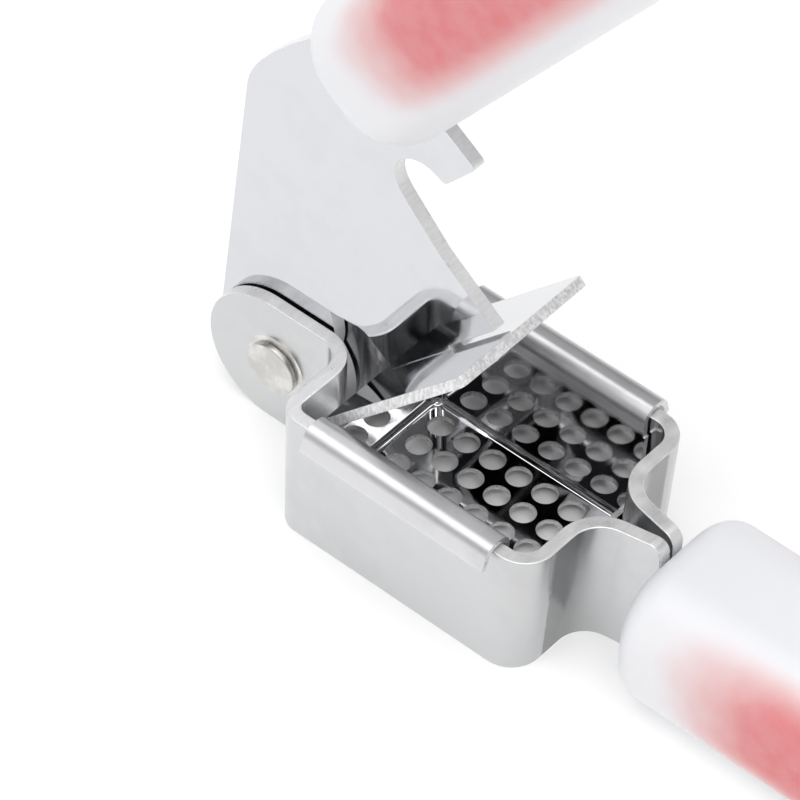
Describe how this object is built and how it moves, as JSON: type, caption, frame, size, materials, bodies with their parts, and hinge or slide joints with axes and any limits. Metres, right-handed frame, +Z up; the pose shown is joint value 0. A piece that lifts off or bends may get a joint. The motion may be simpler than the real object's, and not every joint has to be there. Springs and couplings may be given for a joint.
{
  "type": "garlic press",
  "caption": "Hinged steel garlic press with a perforated drop-in strainer, a presser on a lever plate and two sleeved grips.",
  "frame": {"origin": "bottom centre of the whole press as drawn, with the lever part open, on the surface that it lies on", "axes": "+X from the hinge towards the grips, +Y across the press to the far strip, +Z up"},
  "size_m": [0.1801, 0.0366, 0.1612],
  "materials": {
    "strip_steel": "polished sheet steel, fine scratches, sheared edges",
    "plate_steel": "mirror-polished sheet steel with sheared, striated edges",
    "strainer_steel": "bright thin sheet steel, punched holes",
    "rivet_steel": "worn satin steel",
    "pin_steel": "plain drawn steel",
    "grip_sleeve": "milky soft sleeve that fades to red over its core",
    "grip_core": "red moulded plastic",
    "grip_cap": "milky moulded plastic"
  },
  "bodies": {
    "frame": {"near_side_strip": "strip_steel", "far_side_strip": "strip_steel", "hinge_rivet": "rivet_steel", "strainer_basket": "strainer_steel", "lower_grip_sleeve": "grip_sleeve", "lower_core_near": "grip_core", "lower_core_far": "grip_core", "lower_front_pin": "pin_steel", "lower_rear_pin": "pin_steel", "lower_end_cap": "grip_cap"},
    "lever": {"lever_plate": "plate_steel", "presser_plate": "plate_steel", "upper_grip_sleeve": "grip_sleeve", "upper_core_near": "grip_core", "upper_core_far": "grip_core", "upper_front_pin": "pin_steel", "upper_rear_pin": "pin_steel", "upper_end_cap": "grip_cap"}
  },
  "joints": [
    {"name": "lever_hinge", "type": "hinge", "parent": "frame", "child": "lever", "pos_m": [-0.07845, 0, 0.0103], "axis": [0, -1, 0], "range_deg": [-46.5, 73]}
  ]
}
